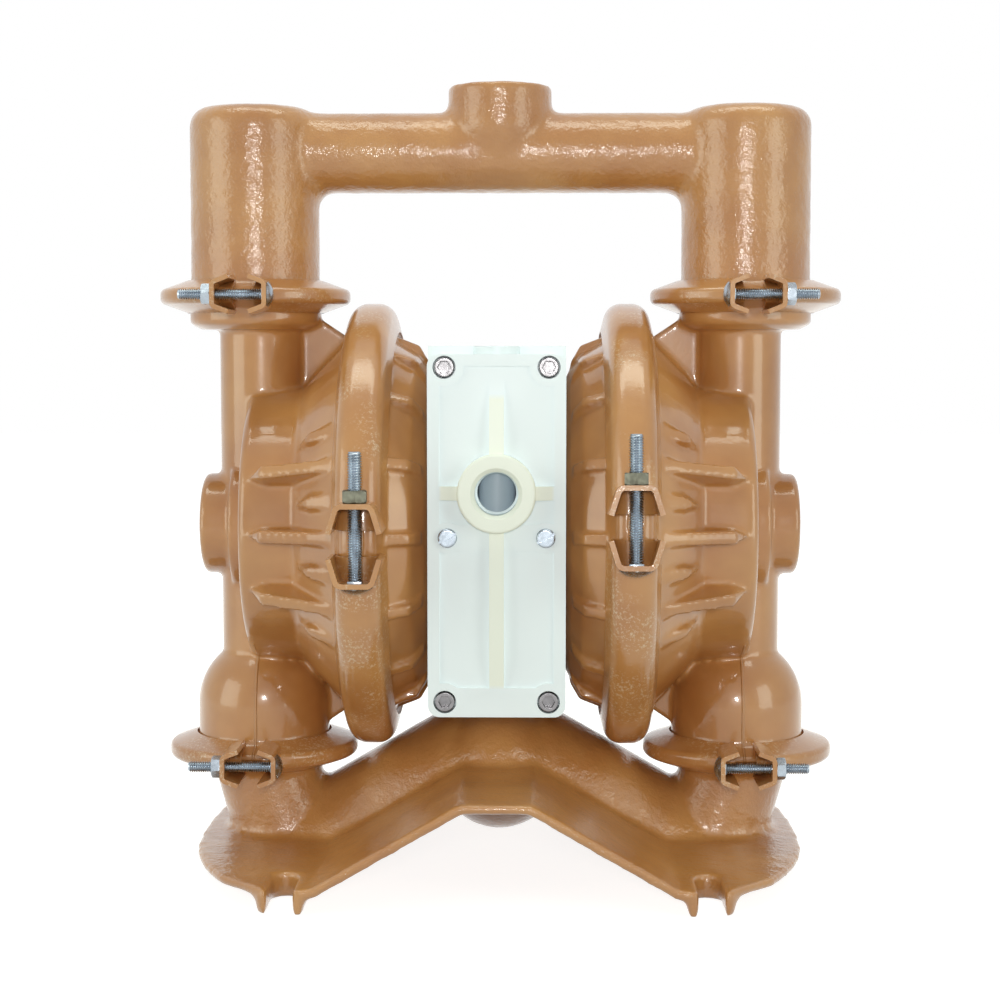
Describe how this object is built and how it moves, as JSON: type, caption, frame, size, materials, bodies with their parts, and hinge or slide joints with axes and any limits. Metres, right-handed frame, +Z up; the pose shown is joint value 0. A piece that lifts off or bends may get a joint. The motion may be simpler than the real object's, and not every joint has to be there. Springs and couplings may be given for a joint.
{
  "type": "air operated double diaphragm pump",
  "caption": "Clamped metal diaphragm pump driven by compressed air, with a carrying bar, a rear inlet, a top outlet and slotted feet.",
  "frame": {"origin": "on the floor under the middle of the feet", "axes": "+X along the shaft to the right, -Y towards the front with the air valve, +Z up"},
  "size_m": [0.4048, 0.3, 0.458],
  "materials": {
    "painted_sand_casting": "glossy epoxy over a rough sand casting",
    "painted_casting": "glossy epoxy",
    "painted_band": "glossy epoxy with scuffs",
    "zinc_plate": "bright zinc plate",
    "grey_nut": "dull plated steel",
    "bright_steel": "plain stainless",
    "pale_plastic": "satin moulded",
    "piston_metal": "machined",
    "shaft_steel": "ground",
    "spool_grey": "moulded",
    "bearing_bronze": "machined",
    "seat_plastic": "machined",
    "ball_rubber": "satin",
    "diaphragm_rubber": "satin",
    "seal_rubber": "satin",
    "gasket_sheet": "matte"
  },
  "bodies": {
    "housing": {"air_chamber_left": "painted_casting", "air_chamber_right": "painted_casting", "air_valve_body": "pale_plastic", "air_valve_end_cap": "pale_plastic", "air_valve_gasket": "gasket_sheet", "centre_block": "pale_plastic", "chamber_screws": "bright_steel", "corner_nuts": "bright_steel", "corner_screws": "bright_steel", "diaphragm_left": "diaphragm_rubber", "diaphragm_right": "diaphragm_rubber", "discharge_manifold": "painted_sand_casting", "end_cap_oring": "seal_rubber", "inlet_manifold": "painted_sand_casting", "large_clamp_bolts": "zinc_plate", "large_clamp_left_lower": "painted_band", "large_clamp_left_upper": "painted_band", "large_clamp_nuts": "grey_nut", "large_clamp_right_lower": "painted_band", "large_clamp_right_upper": "painted_band", "liquid_chamber_left": "painted_casting", "liquid_chamber_right": "painted_casting", "muffler_gasket": "gasket_sheet", "muffler_plate": "pale_plastic", "pilot_sleeve": "bearing_bronze", "seat_orings": "seal_rubber", "shaft_bushing": "bearing_bronze", "shaft_seals": "seal_rubber", "slotted_screws": "zinc_plate", "small_clamp_bolts": "zinc_plate", "small_clamp_lower_left_inner": "painted_band", "small_clamp_lower_left_outer": "painted_band", "small_clamp_lower_right_inner": "painted_band", "small_clamp_lower_right_outer": "painted_band", "small_clamp_nuts": "zinc_plate", "small_clamp_upper_left_inner": "painted_band", "small_clamp_upper_left_outer": "painted_band", "small_clamp_upper_right_inner": "painted_band", "small_clamp_upper_right_outer": "painted_band", "valve_seats": "seat_plastic"},
    "shaft_assembly": {"shaft": "shaft_steel", "inner_piston_left": "piston_metal", "inner_piston_right": "piston_metal", "outer_piston_left": "piston_metal", "outer_piston_right": "piston_metal"},
    "inlet_ball_left": {"inlet_left_ball": "ball_rubber"},
    "inlet_ball_right": {"inlet_right_ball": "ball_rubber"},
    "outlet_ball_left": {"outlet_left_ball": "ball_rubber"},
    "outlet_ball_right": {"outlet_right_ball": "ball_rubber"},
    "air_valve_spool": {"air_spool": "spool_grey"},
    "pilot_valve_spool": {"pilot_spool": "shaft_steel"}
  },
  "joints": [
    {"name": "shaft_stroke", "type": "slide", "parent": "housing", "child": "shaft_assembly", "axis": [1, 0, 0], "range_m": [-0.0175, 0.0175], "deforming": ["diaphragm_left", "diaphragm_right"]},
    {"name": "pilot_shift", "type": "slide", "parent": "housing", "child": "pilot_valve_spool", "axis": [1, 0, 0], "range_m": [-0.005, 0.005]},
    {"name": "air_spool_shift", "type": "slide", "parent": "housing", "child": "air_valve_spool", "axis": [0, 0, 1], "range_m": [0, 0.012]},
    {"name": "inlet_ball_left_lift", "type": "slide", "parent": "housing", "child": "inlet_ball_left", "axis": [0, 0, 1], "range_m": [0, 0.016]},
    {"name": "inlet_ball_right_lift", "type": "slide", "parent": "housing", "child": "inlet_ball_right", "axis": [0, 0, 1], "range_m": [0, 0.016]},
    {"name": "outlet_ball_left_lift", "type": "slide", "parent": "housing", "child": "outlet_ball_left", "axis": [0, 0, 1], "range_m": [0, 0.016]},
    {"name": "outlet_ball_right_lift", "type": "slide", "parent": "housing", "child": "outlet_ball_right", "axis": [0, 0, 1], "range_m": [0, 0.016]}
  ],
  "couplings": [
    {"joint": "pilot_shift", "follows": "shaft_stroke", "ratio": 0.28571}
  ]
}
